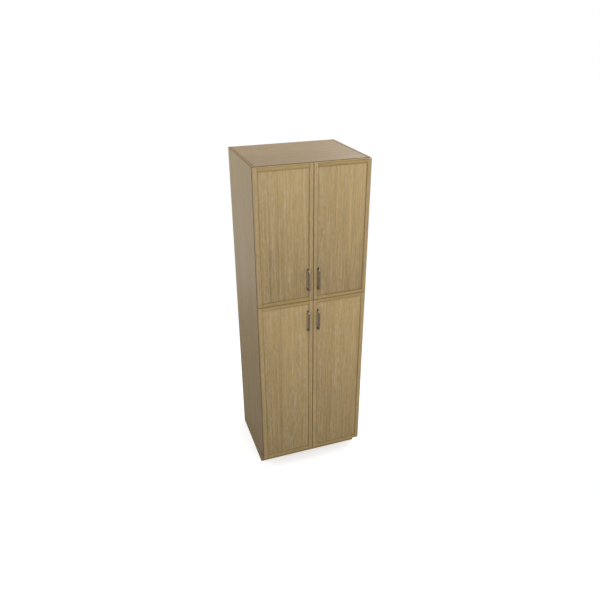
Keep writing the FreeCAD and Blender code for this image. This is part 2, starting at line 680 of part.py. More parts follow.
def hinge_fittings(make):
    """One kind of hinge fitting at every hinge on both sides."""
    left = [make(z) for level in DOORS for z in hinge_heights(level)]
    return left + [mirrored(piece) for piece in left]


def main():
    """Write every node."""
    os.makedirs("parts", exist_ok=True)
    for name, pieces in left_pieces().items():
        save("left_" + name, pieces)
        save("right_" + name, [mirrored(piece) for piece in pieces])
    save("top_panel", [level_panel("top_panel", (TOP_UNDER, HEIGHT), (TOP_UNDER - 1, TOP_UNDER + GROOVE))])
    save("bottom_panel", [level_panel("bottom_panel", (TOE_HEIGHT, BOTTOM_TOP), (BOTTOM_TOP - GROOVE, BOTTOM_TOP + 1))])
    save("fixed_shelf", [fixed_shelf()])
    save("back_panel", [back_panel()])
    for name in BACK_RAILS:
        save(name, [back_rail(name)])
    save("toe_board", [toe_board("toe_board", TOE_DEPTH)])
    save("rear_toe_rail", [toe_board("rear_toe_rail", BACK_FRONT - BOARD)])
    for number, height in enumerate(shelf_heights(), start=1):
        save("adjustable_shelf_%d" % number, [adjustable_shelf(height)])
    save("shelf_pins", shelf_pins())
    save("carcass_dowels", carcass_dowels())
    save("back_panel_screws", back_panel_screws())
    save("door_bumpers", door_bumpers())
    save("hinge_mounting_plates", hinge_fittings(mounting_plate))
    save("hinge_arms", hinge_fittings(hinge_arm))
    save("hinge_screws", hinge_fittings(lambda z: Part.makeCompound(hinge_screws(z))))


main()
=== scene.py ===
"""Looks of a tall four-door broom cupboard: pale limed oak, dark pewter pulls and nickel hinges.

Everything is in metres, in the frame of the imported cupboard: +X to the right, +Y to the back, +Z up.
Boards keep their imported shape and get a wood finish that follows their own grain. The pulls, the screws
and the soft buttons are new surfaces, worked out with numpy from a profile and a path.
"""
import json
import logging
import math
from collections.abc import Sequence
from dataclasses import dataclass, field, replace
from enum import Enum
from functools import cache
from itertools import count

import bpy
import numpy as np
from mathutils import Matrix, Vector

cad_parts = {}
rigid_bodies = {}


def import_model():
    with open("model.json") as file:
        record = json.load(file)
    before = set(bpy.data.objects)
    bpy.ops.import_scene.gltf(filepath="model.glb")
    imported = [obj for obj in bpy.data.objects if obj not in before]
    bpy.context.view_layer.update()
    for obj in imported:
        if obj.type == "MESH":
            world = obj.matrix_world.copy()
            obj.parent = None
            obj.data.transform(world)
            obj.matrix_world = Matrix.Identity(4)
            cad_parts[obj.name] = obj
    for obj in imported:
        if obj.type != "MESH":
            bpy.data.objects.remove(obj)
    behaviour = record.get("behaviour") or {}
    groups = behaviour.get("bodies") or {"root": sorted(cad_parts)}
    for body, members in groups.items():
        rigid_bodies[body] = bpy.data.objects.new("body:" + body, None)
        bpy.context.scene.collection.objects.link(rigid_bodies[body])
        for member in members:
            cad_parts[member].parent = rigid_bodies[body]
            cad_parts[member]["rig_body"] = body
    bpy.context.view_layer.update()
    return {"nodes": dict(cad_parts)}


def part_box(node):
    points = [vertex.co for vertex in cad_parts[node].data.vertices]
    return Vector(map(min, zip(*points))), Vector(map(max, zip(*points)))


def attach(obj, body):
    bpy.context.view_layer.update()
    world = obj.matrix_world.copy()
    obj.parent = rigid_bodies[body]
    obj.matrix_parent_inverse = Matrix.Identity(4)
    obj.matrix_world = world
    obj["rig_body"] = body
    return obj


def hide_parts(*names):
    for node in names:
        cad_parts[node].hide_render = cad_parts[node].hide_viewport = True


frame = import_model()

LOG = logging.getLogger("broom_cupboard")
WHITE = (1.0, 1.0, 1.0)

Array = np.ndarray
Triple = tuple[float, float, float]


def chip(*channels: float) -> Triple:
    """Turn a colour chip into the linear colour that a shader takes.

    Formula: each channel over 255 has its display curve undone, which is a straight line near black and
    a power of 2.4 above it.

    Args:
        *channels: Red, green and blue of the chip, each from 0 to 255.

    Returns:
        The linear red, green and blue.
    """
    share = np.array(channels) / 255
    return tuple(np.where(share <= 0.04045, share / 12.92, ((share + 0.055) / 1.055) ** 2.4).tolist())


# ---------------- node trees


@dataclass(frozen=True)
class Signal:
    """What an output socket gives. Arithmetic with it adds Math nodes to its tree.

    Attributes:
        sheet: The tree that it is in.
        socket: The output socket.
    """

    sheet: "Sheet"
    socket: bpy.types.NodeSocket

    def __add__(self, other: "Value") -> "Signal":
        """Give the sum."""
        return self.sheet.math("ADD", self, other)

    def __sub__(self, other: "Value") -> "Signal":
        """Give the difference."""
        return self.sheet.math("SUBTRACT", self, other)

    def __rsub__(self, other: float) -> "Signal":
        """Give what is left of a number."""
        return self.sheet.math("SUBTRACT", other, self)

    def __mul__(self, other: "Value") -> "Signal":
        """Give the product."""
        return self.sheet.math("MULTIPLY", self, other)

    def __truediv__(self, other: "Value") -> "Signal":
        """Give the quotient."""
        return self.sheet.math("DIVIDE", self, other)

    def __abs__(self) -> "Signal":
        """Give the value without its sign."""
        return self.sheet.math("ABSOLUTE", self)


Value = Signal | float | Sequence[float]
Feeds = dict[int | str, Value]
Signals = dict[str, Signal]


class Sheet:
    """A node tree, with short calls that add nodes and join them."""

    def __init__(self, tree: bpy.types.NodeTree) -> None:
        """Keep the tree that the calls work on."""
        self.tree = tree

    @classmethod
    def blank(cls, owner: bpy.types.Material | bpy.types.World) -> "Sheet":
        """Start a sheet for a material or a world.

        Args:
            owner: The material or the world.

        Returns:
            Its empty node tree, as a sheet.
        """
        owner.use_nodes = True
        owner.node_tree.nodes.clear()
        return cls(owner.node_tree)

    def feed(self, node: bpy.types.Node, feeds: Feeds) -> None:
        """Give a node's inputs their values: a link from each signal, and constants as they are.

        Args:
            node: The node.
            feeds: The values by the inputs' names or numbers. A colour is three numbers, and opaque.
        """
        for key, value in feeds.items():
            target = node.inputs[key]
            if isinstance(value, Signal):
                self.tree.links.new(value.socket, target)
            else:
                target.default_value = (*value, 1.0) if target.type == "RGBA" else value

    def add(self, kind: str, feeds: Feeds | None = None, **settings: object) -> bpy.types.Node:
        """Add one node.

        Args:
            kind: Blender's name for the node's type.
            feeds: Values for its inputs, as feed takes them.
            **settings: Values for the node's own properties.

        Returns:
            The new node.
        """
        node = self.tree.nodes.new(kind)
        for name, value in settings.items():
            setattr(node, name, value)
        self.feed(node, feeds or {})
        return node

    def read(self, kind: str, feeds: Feeds | None = None, pick: int | str = 0, **settings: object) -> Signal:
        """Add one node, as add does, and give the output that is picked."""
        return Signal(self, self.add(kind, feeds, **settings).outputs[pick])

    def read_all(self, kind: str, feeds: Feeds | None = None, **settings: object) -> Signals:
        """Add one node, as add does, and give its outputs by name."""
        return {socket.name: Signal(self, socket) for socket in self.add(kind, feeds, **settings).outputs}

    def math(self, operation: str, *values: Value, clamp: bool = False) -> Signal:
        """Add a Math node, with a value for each input, whose result may be kept between 0 and 1."""
        return self.read("ShaderNodeMath", dict(enumerate(values)), operation=operation, use_clamp=clamp)

    def vector(self, operation: str, *values: Value) -> Signal:
        """Add a Vector Math node, with a vector for each input."""
        return self.read("ShaderNodeVectorMath", dict(enumerate(values)), operation=operation)

    def scaled(self, vector: Value, scale: Value) -> Signal:
        """Multiply a vector by one number."""
        return self.read("ShaderNodeVectorMath", {0: vector, "Scale": scale}, operation="SCALE")

    def noise(self, place: Signal, pace: Triple, detail: float = 1.0, pick: str = "Fac") -> Signal:
        """Add smooth noise about one half, with its pace in waves a metre, or three with Color picked."""
        feeds = {"Vector": self.vector("MULTIPLY", place, pace), "Scale": 1.0, "Detail": detail}
        return self.read("ShaderNodeTexNoise", feeds, pick)

    def step(self, value: Value, low: Value, high: Value, start: float = 0.0, end: float = 1.0) -> Signal:
        """Add a smooth step, from the start up to the low value to the end from the high value on."""
        feeds = {"Value": value, "From Min": low, "From Max": high, "To Min": start, "To Max": end}
        return self.read("ShaderNodeMapRange", feeds, "Result", interpolation_type="SMOOTHSTEP")

    def blend(self, share: Value, first: Value, second: Value, mode: str = "MIX") -> Signal:
        """Blend two colours, with the share of the second from 0 to 1."""
        feeds = {0: share, 6: first, 7: second}
        return self.read("ShaderNodeMix", feeds, 2, data_type="RGBA", blend_type=mode)

    def tint(self, colour: Value, by: Value) -> Signal:
        """Multiply a colour by another, or by one number."""
        return self.blend(1.0, colour, by, "MULTIPLY")

    def bump(self, height: Signal, depth: float, strength: float) -> Signal:
        """Raise a surface by shading, as far as the depth in metres where the height is 1."""
        return self.read("ShaderNodeBump", {"Height": height, "Distance": depth, "Strength": strength})

    def split(self, vector: Signal) -> list[Signal]:
        """Split a vector into its three numbers."""
        return list(self.read_all("ShaderNodeSeparateXYZ", {0: vector}).values())

    def surface(self, shader: Signal) -> None:
        """Show a shader on the material's surface."""
        self.add("ShaderNodeOutputMaterial", {"Surface": shader})

    def principled(self, colour: Signal, roughness: Signal, normal: Signal, others: Feeds) -> None:
        """Show the Principled shader, with its colour, roughness, direction and other inputs."""
        feeds = {"Base Color": colour, "Roughness": roughness, "Normal": normal, **others}
        self.surface(self.read("ShaderNodeBsdfPrincipled", feeds))


class Effect:
    """A node group that many finishes place, each with its own values."""

    label: str = ""
    kind: str = "ShaderNodeTree"
    inputs: dict[str, str] = {}
    outputs: dict[str, str] = {}

    @classmethod
    @cache
    def tree(cls) -> bpy.types.NodeTree:
        """Build the group's tree the first time that it is asked for.

        Returns:
            The tree.
        """
        tree = bpy.data.node_groups.new(cls.label, cls.kind)
        for way, sockets in (("INPUT", cls.inputs), ("OUTPUT", cls.outputs)):
            for name, kind in sockets.items():
                tree.interface.new_socket(name=name, in_out=way, socket_type="NodeSocket" + kind)
        sheet = Sheet(tree)
        sheet.add("NodeGroupOutput", cls.work(sheet, sheet.read_all("NodeGroupInput")))
        return tree

    @classmethod
    def place(cls, sheet: Sheet, **values: Value) -> Signals:
        """Place the group on a sheet, with its inputs' names in small letters and _ for a space."""
        feeds = {name.replace("_", " ").title(): value for name, value in values.items()}
        return sheet.read_all("ShaderNodeGroup", feeds, node_tree=cls.tree())

    @classmethod
    def work(cls, sheet: Sheet, given: Signals) -> Signals:
        """Add the group's nodes, as the formula of each effect says.

        Args:
            sheet: The group's tree.
            given: The group's inputs by name.

        Returns:
            The group's results by name.
        """
        raise NotImplementedError


class Fibres(Effect):
    """Straight oak grain along the third axis: bands, long lines, streaks, open pores and pale ray flecks.

    Each pace is in waves a metre across, through and along the grain, and each step is from where a
    noise starts to show to where it shows in full.
    """

    label = "oak_fibres"
    inputs = {"Vector": "Vector", "Seed": "Float", "Width": "Float"}
    outputs = dict.fromkeys(("Tone", "Pores", "Flecks", "Crowd", "Warmth"), "Float")
    seed_shift = (0.173, 0.237, 0.593)
    wander_pace = (3.0, 3.0, 1.3)
    wander_reach = (0.012, 0.012, 0.0)
    bands = ((10.0, 10.0, 0.8), 0.0, 0.15)
    long_lines = ((130.0, 130.0, 1.2), 1.0, 2.0)
    streaks = ((130.0, 130.0, 7.0), 1.0, 1.3)
    short_streaks = ((120.0, 120.0, 24.0), 1.0, 1.0)
    threads = ((300.0, 300.0, 40.0), 1.0, 0.9)
    darkest, palest = -0.2, 1.2
    pore_pace, pore_step = (1500.0, 1500.0, 38.0), (0.58, 0.72)
    crowd_pace, crowd_step = (17.0, 17.0, 0.7), (0.46, 0.64, 0.15, 1.0)
    fleck_pace, fleck_step = (170.0, 170.0, 20.0), (0.56, 0.68)
    warmth_pace, warmth_step = (75.0, 75.0, 9.0), (0.3, 0.7)

    @classmethod
    def work(cls, sheet: Sheet, given: Signals) -> Signals:
        """Formula: tone is one half plus weighted noises of falling width, each stretched along the grain.

        Args:
            sheet: The group's tree.
            given: The place on the board, its seed and the width of its streaks.

        Returns:
            The wood's tone, and where its pores, flecks, crowds of flecks and warm places are.
        """
        moved = sheet.vector("ADD", given["Vector"], sheet.scaled(cls.seed_shift, given["Seed"]))
        wander = sheet.vector("SUBTRACT", sheet.noise(moved, cls.wander_pace, 2.0, "Color"), (0.5, 0.5, 0.5))
        swayed = sheet.vector("ADD", moved, sheet.vector("MULTIPLY", wander, cls.wander_reach))
        shrink = sheet.math("DIVIDE", 1.0, given["Width"])
        narrow = sheet.read("ShaderNodeCombineXYZ", {"X": shrink, "Y": shrink, "Z": 1.0})
        place = sheet.vector("MULTIPLY", swayed, narrow)
        tone: Value = 0.5
        for pace, detail, weight in (cls.bands, cls.long_lines, cls.streaks, cls.short_streaks, cls.threads):
            tone = (sheet.noise(place, pace, detail) - 0.5) * weight + tone
        return {
            "Tone": sheet.math("MINIMUM", sheet.math("MAXIMUM", tone, cls.darkest), cls.palest),
            "Pores": sheet.step(sheet.noise(place, cls.pore_pace), *cls.pore_step),
            "Flecks": sheet.step(sheet.noise(place, cls.fleck_pace), *cls.fleck_step),
            "Crowd": sheet.step(sheet.noise(place, cls.crowd_pace, 0.0), *cls.crowd_step),
            "Warmth": sheet.step(sheet.noise(place, cls.warmth_pace, 1.5), *cls.warmth_step),
        }


class Arris(Effect):
    """The edges of a box-shaped board, found from its half size about its own middle, where painted shade
    goes.
    """

    label = "board_arris"
    inputs = {"Vector": "Vector", "Half Size": "Vector", "Width": "Float"}
    outputs = {"Mask": "Float"}

    @classmethod
    def work(cls, sheet: Sheet, given: Signals) -> Signals:
        """Formula: of the three distances to the box's faces, the middle one is small only near an edge.

        Args:
            sheet: The group's tree.
            given: The place on the board, half its size and the width of its edges.

        Returns:
            A mask that is 1 on an edge.
        """
        distance = sheet.vector("SUBTRACT", given["Half Size"], sheet.vector("ABSOLUTE", given["Vector"]))
        first, second, third = sheet.split(distance)
        least = sheet.math("MINIMUM", sheet.math("MINIMUM", first, second), third)
        most = sheet.math("MAXIMUM", sheet.math("MAXIMUM", first, second), third)
        middle = first + second + third - least - most
        return {"Mask": sheet.step(middle, 0.0, given["Width"], 1.0, 0.0)}


class LeafJoint(Effect):
    """The fine line where two leaves of veneer meet, and which leaf a point lies on."""

    label = "veneer_leaf_joint"
    inputs = {"Vector": "Vector", "Place": "Float", "Lean": "Float"}
    outputs = {"Line": "Float", "Leaf": "Float"}
    line_widths = (0.0003, 0.0026)
    leaf_blur = 0.0005

    @classmethod
    def work(cls, sheet: Sheet, given: Signals) -> Signals:
        """Formula: the distance across from a line that leans a little as it runs along the grain.

        Args:
            sheet: The group's tree.
            given: The place on the board, where the line is and how far it leans.

        Returns:
            A mask that is 1 on the line, and the leaf: 0 on one side and 1 on the other.
        """
        across, _, along = sheet.split(given["Vector"])
        distance = across - along * given["Lean"] - given["Place"]
        line = sheet.step(abs(distance), *cls.line_widths, 1.0, 0.0)
        return {"Line": line, "Leaf": sheet.step(distance, -cls.leaf_blur, cls.leaf_blur)}


class OakBoard(Effect):
    """The whole look of one oak board: grain, veneer joint, painted light falloff along it and painted shade
    at its edges.
    """

    label = "oak_board"
    shares = ("Seed", "Width", "Contrast", "Flecks", "Fleck Place", "Joint Place", "Joint Lean", "Joint",
              "Drift", "Edge", "Edge Width", "End", "Gloss")
    inputs = {"Vector": "Vector", "Half Size": "Vector", "Oak": "Color", **dict.fromkeys(shares, "Float")}
    outputs = {"Color": "Color", "Roughness": "Float", "Height": "Float"}
    pore_depth = 0.7
    leaf_change = 0.12
    line_depth = 0.5
    end_reach = 0.0008
    cool, warm = (0.975, 1.01, 1.065), (1.025, 0.99, 0.94)
    # Painted edge shade and the real end grain are both browned with this colour.
    brown = (0.18, 0.06, 0.0)
    column_widths = (0.006, 0.03)
    stray_flecks = 0.7
    limed = (1.1, 1.22, 1.7)
    pore_roughness = 0.12
    end_roughness = 0.6
    tone_height = 0.6

    @classmethod
    def work(cls, sheet: Sheet, given: Signals) -> Signals:
        """Formula: the oak colour times one plus each effect's share, browned by painted edge shade and at
        end grain.

        It is limed where flecks crowd, which is in one column and, less, wherever the grain says.

        Args:
            sheet: The group's tree.
            given: The place on the board, half its size, its oak and its shares.

        Returns:
            The board's colour, roughness and height.
        """
        vector = given["Vector"]
        across, _, along = sheet.split(vector)
        half_across, _, half_along = sheet.split(given["Half Size"])
        fibres = Fibres.place(sheet, vector=vector, seed=given["Seed"], width=given["Width"])
        joint = LeafJoint.place(sheet, vector=vector, place=given["Joint Place"] * half_across,
                                lean=given["Joint Lean"])
        arris = Arris.place(sheet, vector=vector, half_size=given["Half Size"], width=given["Edge Width"])
        level = (fibres["Tone"] - 0.5 - fibres["Pores"] * cls.pore_depth) * given["Contrast"] + 1.0
        # Painted light falloff: lighter towards the far end of the grain, darker towards the near end.
        level += along / half_along * given["Drift"]
        level += (joint["Leaf"] - 0.5) * given["Joint"] * cls.leaf_change
        level *= 1 - joint["Line"] * given["Joint"] * cls.line_depth
        # End grain is browned as real oak is; the edges are darkened by painted shade, for the shadow lines
        # of gaps and recesses.
        end = sheet.step(half_along - abs(along), 0.0, cls.end_reach, 1.0, 0.0) * given["End"]
        dark = sheet.math("MAXIMUM", arris["Mask"] * given["Edge"], end)
        wood = sheet.tint(given["Oak"], sheet.blend(fibres["Warmth"], cls.cool, cls.warm))
        wood = sheet.tint(sheet.tint(wood, level), sheet.blend(dark, WHITE, cls.brown))
        aside = abs(across - given["Fleck Place"] * half_across)
        column = sheet.step(aside, *cls.column_widths, 1.0, 0.0)
        crowd = sheet.math("MAXIMUM", fibres["Crowd"] * cls.stray_flecks, column)
        pale = sheet.math("MULTIPLY", fibres["Flecks"] * crowd, given["Flecks"], clamp=True)
        return {
            "Color": sheet.blend(pale, wood, sheet.tint(wood, cls.limed)),
            "Roughness": given["Gloss"] + fibres["Pores"] * cls.pore_roughness + end * cls.end_roughness,
            "Height": fibres["Tone"] * cls.tone_height - fibres["Pores"],
        }


class Brushing(Effect):
    """Fine lines left by a brush or a tumbler on metal, and the slow cloudiness of its finish."""

    label = "metal_brushing"
    inputs = {"Vector": "Vector", "Fineness": "Float"}
    outputs = {"Lines": "Float", "Cloud": "Float"}
    line_pace = (3600.0, 3600.0, 160.0)
    cloud_pace, cloud_step = (55.0, 55.0, 55.0), (0.35, 0.65)

    @classmethod
    def work(cls, sheet: Sheet, given: Signals) -> Signals:
        """Formula: noise that is fine across and long along the third axis, and a step of coarse noise.

        Args:
            sheet: The group's tree.
            given: The place on the piece, and how fine the lines are.

        Returns:
            The lines and the clouds, each from 0 to 1.
        """
        fine = sheet.scaled(given["Vector"], given["Fineness"])
        cloud = sheet.step(sheet.noise(given["Vector"], cls.cloud_pace, 2.0), *cls.cloud_step)
        return {"Lines": sheet.noise(fine, cls.line_pace), "Cloud": cloud}


class RoundShading(Effect):
    """The modifier that shades turned metal parts round and keeps their edges crisp."""

    label = "round_shading"
    kind = "GeometryNodeTree"
    inputs = {"Geometry": "Geometry"}
    outputs = inputs
    join_distance = 1e-5
    crisp_angle = 0.5

    @classmethod
    def work(cls, sheet: Sheet, given: Signals) -> Signals:
        """Formula: triangles are joined, every face is round, and edges sharper than half a radian crisp.

        Args:
            sheet: The group's tree.
            given: The piece's geometry.

        Returns:
            The shaded geometry.
        """
        feeds = {"Geometry": given["Geometry"], "Distance": cls.join_distance}
        joined = sheet.read("GeometryNodeMergeByDistance", feeds)
        smooth = sheet.read("GeometryNodeSetShadeSmooth", {"Geometry": joined}, domain="FACE")
        feeds = {0: sheet.read("GeometryNodeInputMeshEdgeAngle"), 1: cls.crisp_angle}
        sharp = sheet.read("FunctionNodeCompare", feeds, data_type="FLOAT", operation="GREATER_THAN")
        feeds = {"Geometry": smooth, "Selection": sharp, "Shade Smooth": False}
        return {"Geometry": sheet.read("GeometryNodeSetShadeSmooth", feeds, domain="EDGE")}


# ---------------- finishes


class Lay(Enum):
    """How a board lies: the frame's axes that run across it, through it and along its grain."""

    UPRIGHT = ((1, 0, 0), (0, 1, 0), (0, 0, 1))
    SIDE = ((0, 1, 0), (-1, 0, 0), (0, 0, 1))
    FLAT = ((0, 1, 0), (0, 0, 1), (1, 0, 0))
    RAIL = ((0, 0, 1), (0, -1, 0), (1, 0, 0))

    def turn(self) -> Matrix:
        """Give the rotation from the frame to across, through and along."""
        return Matrix(self.value)


@dataclass(frozen=True)
class Board:
    """A packed board and the box that it shows.

    Attributes:
        node: The board's name.
        lay: How it lies.
        hidden: How much of each end is out of sight in a joint, across, through and along.
    """

    node: str
    lay: Lay
    hidden: Triple = (0.0, 0.0, 0.0)

    def middle(self) -> Vector:
        """Give the middle of the board, turned to across, through and along."""
        low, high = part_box(self.node)
        return self.lay.turn() @ ((low + high) / 2)

    def half(self) -> Vector:
        """Work out half of the board's shown size.

        Returns:
            The half size across, through and along.
        """
        low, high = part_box(self.node)
        turned = self.lay.turn() @ ((high - low) / 2)
        return Vector([abs(size) - tuck for size, tuck in zip(turned, self.hidden)])


def new_material(name: str) -> tuple[bpy.types.Material, Sheet, Signal]:
    """Start a material.

    Args:
        name: The material's name.

    Returns:
        The material, its sheet and the piece's own coordinates.
    """
    material = bpy.data.materials.new(name)
    sheet = Sheet.blank(material)
    return material, sheet, sheet.read("ShaderNodeTexCoord", pick="Object")


@dataclass(frozen=True)
class OakFinish:
    """Limed oak under a satin lacquer. All but its name and specular are inputs of the oak board effect.

    Attributes:
        name: The finish's name.
        oak: The middle colour of the wood.
        contrast: How far streaks leave the middle colour, as a share.
        width: The width of streaks, where 1 is about 8 mm.
        flecks: How strongly ray flecks show.
        fleck_place: Where across the board the flecks crowd, as a share of its half width.
        joint_place: Where across the board two veneer leaves meet, as a share of its half width.
        joint_lean: How far that line leans, in metres a metre.
        joint: How strongly the joint shows.
        drift: A painted light falloff: how much lighter the far end of the grain is, as a share.
        edge: How dark the painted shade along the edges is, as a share: shadow lines at gaps and recesses.
        edge_width: How wide that painted edge shade is, in metres.
        end: How much darker the end grain is, as a share.
        gloss: The roughness between pores.
        specular: How strongly the lacquer reflects, where 0.5 is plain lacquer.
    """

    name: str
    oak: Triple
    contrast: float = 0.3
    width: float = 1.0
    flecks: float = 0.4
    fleck_place: float = -0.6
    joint_place: float = -0.25
    joint_lean: float = 0.015
    joint: float = 0.0
    drift: float = 0.0
    edge: float = 0.3
    edge_width: float = 0.003
    end: float = 0.2
    gloss: float = 0.46
    specular: float = 0.3

    def apply(self, board: Board, seed: int) -> None:
        """Finish one packed board.

        Args:
            board: The board.
            seed: A number that gives it a grain of its own.
        """
        material, sheet, place = new_material(f"{self.name}.{board.node}")
        turn = {"Vector": place, "Rotation": board.lay.turn().to_euler(), "Location": -board.middle()}
        vector = sheet.read("ShaderNodeMapping", turn, vector_type="POINT")
        shares = {name: share for name, share in vars(self).items() if name not in ("name", "specular")}
        looks = OakBoard.place(sheet, vector=vector, half_size=board.half(), seed=float(seed), **shares)
        normal = sheet.bump(looks["Height"], depth=0.0003, strength=0.5)
        sheet.principled(looks["Color"], looks["Roughness"], normal, {"Specular IOR Level": self.specular})
        dress(board.node, material)


@dataclass(frozen=True)
class MetalFinish:
    """A plated or patinated metal.

    Attributes:
        name: The finish's name.
        bright: The colour where its patina is worn bright.
        dull: The colour where it is clouded.
        rough: The middle roughness.
        spread: How much the roughness varies.
        fineness: How fine the brushing is, where 1 is a line about every 0.3 mm.
        depth: How deep the brushing is, in metres.
        metallic: How much of it is bare metal, and not patina.
        rubbed: The colour of a painted highlight, where the piece's "rub" attribute marks it.
        polish: How much smoother it is there, as a share.
    """

    name: str
    bright: Triple
    dull: Triple
    rough: float = 0.35
    spread: float = 0.12
    fineness: float = 1.0
    depth: float = 0.00002
    metallic: float = 1.0
    rubbed: Triple | None = None
    polish: float = 0.2

    @cache
    def material(self) -> bpy.types.Material:
        """Mix the finish's material, which all pieces of that metal share.

        Returns:
            The material.
        """
        material, sheet, place = new_material(self.name)
        brushing = Brushing.place(sheet, vector=place, fineness=self.fineness)
        colour = sheet.blend(brushing["Cloud"], self.bright, self.dull)
        rough = brushing["Lines"] * self.spread + (brushing["Cloud"] - 1.0) * (self.spread / 2) + self.rough
        # A painted highlight: where the piece marks it, the colour turns pale and the metal smoother.
        if self.rubbed is not None:
            rub = sheet.read("ShaderNodeAttribute", pick="Fac", attribute_name="rub")
            colour = sheet.blend(rub, colour, self.rubbed)
            rough *= 1 - rub * self.polish
        normal = sheet.bump(brushing["Lines"], self.depth, strength=0.6)
        sheet.principled(colour, rough, normal, {"Metallic": self.metallic})
        return material


@dataclass(frozen=True)
class SoftFinish:
    """Clear soft plastic, slightly clouded.

    Attributes:
        name: The finish's name.
        tone: The colour of the plastic.
        haze: The colour of its clouds.
        cloud_pace: Clouds in a metre.
        rough: The least roughness, and how much the clouds add to it.
        scatter: How much light goes into it, and how far in metres.
    """

    name: str
    tone: Triple
    haze: Triple = (0.9, 0.9, 0.88)
    cloud_pace: float = 900.0
    rough: float = 0.2
    scatter: tuple[float, float] = (0.3, 0.001)

    def material(self) -> bpy.types.Material:
        """Mix the finish's material.

        Returns:
            The material.
        """
        material, sheet, place = new_material(self.name)
        cloud = sheet.noise(place, (self.cloud_pace,) * 3, 2.0)
        within = dict(zip(("Subsurface Weight", "Subsurface Scale"), self.scatter))
        normal = sheet.bump(cloud, depth=0.00003, strength=0.4)
        colour = sheet.blend(cloud, self.tone, self.haze)
        sheet.principled(colour, cloud * self.rough + self.rough, normal, within)
        return material


def dress(node: str, material: bpy.types.Material) -> None:
    """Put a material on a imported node.

    Args:
        node: The node's name.
        material: The material.
    """
    for slot in frame["nodes"][node].material_slots:
        slot.material = material
    LOG.info("dressed %s in %s", node, material.name)


def dress_metal(node: str, finish: MetalFinish) -> None:
    """Finish a packed metal node and shade its round faces round."""
    dress(node, finish.material())
    frame["nodes"][node].modifiers.new("round_shading", "NODES").node_group = RoundShading.tree()


# The pale colour on the pulls' upper bends is a painted highlight.
PEWTER = MetalFinish("patinated_pewter", chip(130, 126, 118), chip(110, 105, 97), rough=0.36, spread=0.14,
                     metallic=0.85, rubbed=chip(164, 159, 150))
NICKEL = MetalFinish("nickel", chip(206, 202, 194), chip(188, 184, 177), rough=0.26)
ZINC = MetalFinish("zinc", chip(192, 194, 197), chip(168, 170, 172), rough=0.4, fineness=0.5)
BUMPER = SoftFinish("soft_plastic", chip(214, 212, 204))

# Along each board's grain these finishes paint a light falloff, lighter at the top of upright boards, and
# along its edges painted shade.
PANEL_OAK = OakFinish("oak_panel", chip(177, 152, 107), 0.27, flecks=1.3, fleck_place=-0.83,
                      joint_place=-0.27, joint_lean=0.012, joint=0.4, drift=0.16, edge_width=0.009)
STILE_OAK = OakFinish("oak_stile", chip(178, 152, 107), 0.27, flecks=0.3, drift=0.062, edge=0.28,
                      specular=0.35)
TOP_RAIL_OAK = OakFinish("oak_top_rail", chip(178, 151, 103), 0.27, flecks=0.2, edge=0.2, edge_width=0.005,
                         specular=0.1)
# The bottom rail's darker oak is painted shade, continuing the falloff down each door.
BOTTOM_RAIL_OAK = replace(TOP_RAIL_OAK, name="oak_bottom_rail", oak=chip(173, 148, 101))
TOE_OAK = replace(TOP_RAIL_OAK, name="oak_toe", oak=chip(170, 146, 100), specular=0.2)
SIDE_OAK = OakFinish("oak_side", chip(166, 143, 104), 0.24, 1.2, 0.3, fleck_place=0.3, joint_place=-0.2,
                     joint_lean=0.0, joint=0.35, drift=0.12, edge=0.8, edge_width=0.006, end=0.4)
TOP_OAK = OakFinish("oak_top", chip(151, 127, 87), 0.17, 2.8, 0.3, fleck_place=0.2, joint_place=-0.1,
                    joint_lean=0.0, joint=0.5, drift=0.03, edge=0.45, edge_width=0.006, gloss=0.5,
                    specular=0.32)
SHELF_OAK = OakFinish("oak_shelf", chip(176, 155, 118), 0.26, 1.6, 0.3, joint=0.3)
BACK_OAK = OakFinish("oak_back", chip(178, 158, 122), 0.28, 2.0, 0.3, joint=0.5, edge=0.1)
FRAME_OAK = OakFinish("oak_frame", chip(168, 147, 110), 0.3, 1.3, 0.3)
BEECH = OakFinish("beech", chip(205, 176, 136), 0.16, 0.5, 0.8, edge=0.2)


# ---------------- surfaces


def add_object(name: str, data: bpy.types.ID) -> bpy.types.Object:
    """Add an object to the scene.

    Args:
        name: The object's name.
        data: Its mesh, lamp or camera.

    Returns:
        The object.
    """
    made = bpy.data.objects.new(name, data)
    bpy.context.scene.collection.objects.link(made)
    return made


def skin(name: str, rows: Array, copies: Array, smooth_below: float = 35.0) -> bpy.types.Object:
    """Make a mesh from rings that close at a point at each end.

    Formula: the first and the last row are drawn together to their middle, each row is joined to the
    next by four-sided faces, and the two ends by fans of triangles.

    Args:
        name: The object's name.
        rows: Points of the rings, as rows by points round by 3, in the piece's own axes.
        copies: Where the pieces go, as copies by 3 by 4: three columns of a rotation and a place.
        smooth_below: Edges that turn less than this are shaded round, in degrees.

    Returns:
        The new object, with all copies in one mesh and its origin at the frame's origin.
    """
    rings, around = rows.shape[:2]
    points = np.concatenate([rows.reshape(-1, 3), rows[[0, -1]].mean(axis=1)])
    placed = np.einsum("pk,cjk->cpj", points, copies[:, :, :3]) + copies[:, None, :, 3]
    start = np.arange(rings)[:, None] * around
    near, far = start + np.arange(around), start + np.roll(np.arange(around), -1)
    quads = np.stack([near[:-1], far[:-1], far[1:], near[1:]], axis=-1).reshape(-1, 4)
    tips = np.broadcast_to(rings * around + np.arange(2)[:, None], (2, around))
    fans = np.stack([[far[0], near[-1]], [near[0], far[-1]], tips], axis=-1).reshape(-1, 3)
    offsets = (np.arange(len(copies)) * len(points))[:, None, None]
    faces = (quads + offsets).reshape(-1, 4).tolist() + (fans + offsets).reshape(-1, 3).tolist()
    mesh = bpy.data.meshes.new(name)
    mesh.from_pydata(placed.reshape(-1, 3), [], faces)
    mesh.shade_smooth()
    mesh.set_sharp_from_angle(angle=math.radians(smooth_below))
    LOG.info("made %s: %d faces", name, len(faces))
    return add_object(name, mesh)


